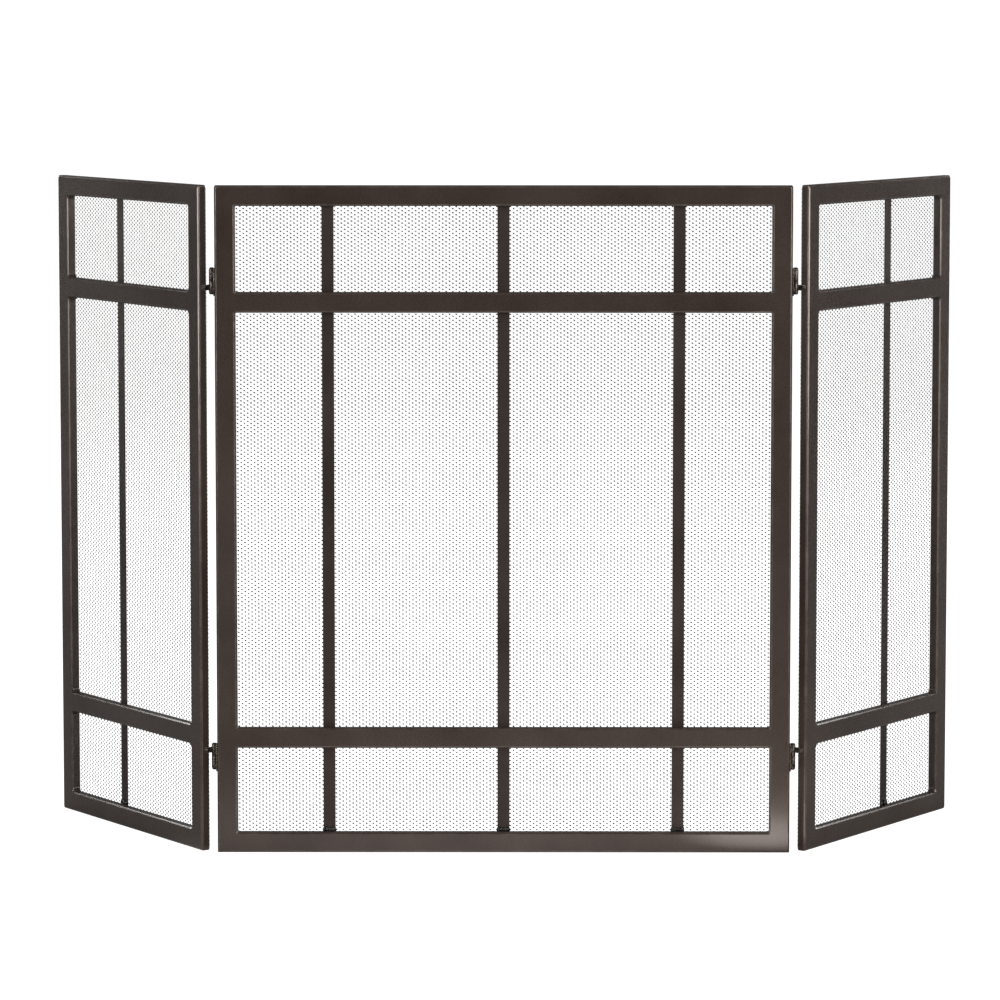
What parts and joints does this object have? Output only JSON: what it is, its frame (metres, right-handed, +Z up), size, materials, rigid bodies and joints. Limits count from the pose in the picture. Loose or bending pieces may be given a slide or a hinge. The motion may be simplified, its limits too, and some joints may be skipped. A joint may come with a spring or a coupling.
{
  "type": "fireplace screen",
  "caption": "Free-standing folding fireplace screen: a wide centre panel and two hinged side panels of dark steel tube with upright bars and expanded-metal mesh.",
  "frame": {"origin": "on the floor, under the middle of the box round the standing screen", "axes": "+Z up, -Y is the side that the centre panel faces, +X to the right seen from the front"},
  "size_m": [1.1554, 0.3056, 0.83],
  "materials": {
    "frame_paint": "satin dark bronze powder coat",
    "strips": "satin dark bronze powder coat",
    "mesh": "dark painted expanded steel",
    "hinge": "satin dark bronze powder coat, worn bright at the rubbing edges",
    "screws": "dark bronze plated steel"
  },
  "bodies": {
    "centre_panel": {"centre_bottom_border": "strips", "centre_bottom_rail": "frame_paint", "centre_hinge_screws": "screws", "centre_left_bar": "strips", "centre_left_border": "strips", "centre_left_stile": "frame_paint", "centre_lower_cross_rail": "frame_paint", "centre_mesh": "mesh", "centre_mesh_screws": "screws", "centre_middle_bar": "strips", "centre_right_bar": "strips", "centre_right_border": "strips", "centre_right_stile": "frame_paint", "centre_top_border": "strips", "centre_top_rail": "frame_paint", "centre_upper_cross_rail": "frame_paint", "left_lower_hinge_centre_leaf": "hinge", "left_lower_hinge_pin": "hinge", "left_upper_hinge_centre_leaf": "hinge", "left_upper_hinge_pin": "hinge", "right_lower_hinge_centre_leaf": "hinge", "right_lower_hinge_pin": "hinge", "right_upper_hinge_centre_leaf": "hinge", "right_upper_hinge_pin": "hinge"},
    "left_panel": {"left_bar": "strips", "left_bottom_border": "strips", "left_bottom_rail": "frame_paint", "left_hinge_screws": "screws", "left_hinge_stile": "frame_paint", "left_left_border": "strips", "left_lower_cross_rail": "frame_paint", "left_lower_hinge_side_leaf": "hinge", "left_mesh": "mesh", "left_mesh_screws": "screws", "left_outer_stile": "frame_paint", "left_right_border": "strips", "left_top_border": "strips", "left_top_rail": "frame_paint", "left_upper_cross_rail": "frame_paint", "left_upper_hinge_side_leaf": "hinge"},
    "right_panel": {"right_bar": "strips", "right_bottom_border": "strips", "right_bottom_rail": "frame_paint", "right_hinge_screws": "screws", "right_hinge_stile": "frame_paint", "right_left_border": "strips", "right_lower_cross_rail": "frame_paint", "right_lower_hinge_side_leaf": "hinge", "right_mesh": "mesh", "right_mesh_screws": "screws", "right_outer_stile": "frame_paint", "right_right_border": "strips", "right_top_border": "strips", "right_top_rail": "frame_paint", "right_upper_cross_rail": "frame_paint", "right_upper_hinge_side_leaf": "hinge"}
  },
  "joints": [
    {"name": "left_fold", "type": "hinge", "parent": "centre_panel", "child": "left_panel", "pos_m": [-0.36, -0.13529, 0.415], "axis": [0, 0, 1], "range_deg": [-125, 55]},
    {"name": "right_fold", "type": "hinge", "parent": "centre_panel", "child": "right_panel", "pos_m": [0.36, -0.13529, 0.415], "axis": [0, 0, 1], "range_deg": [-55, 125]}
  ]
}
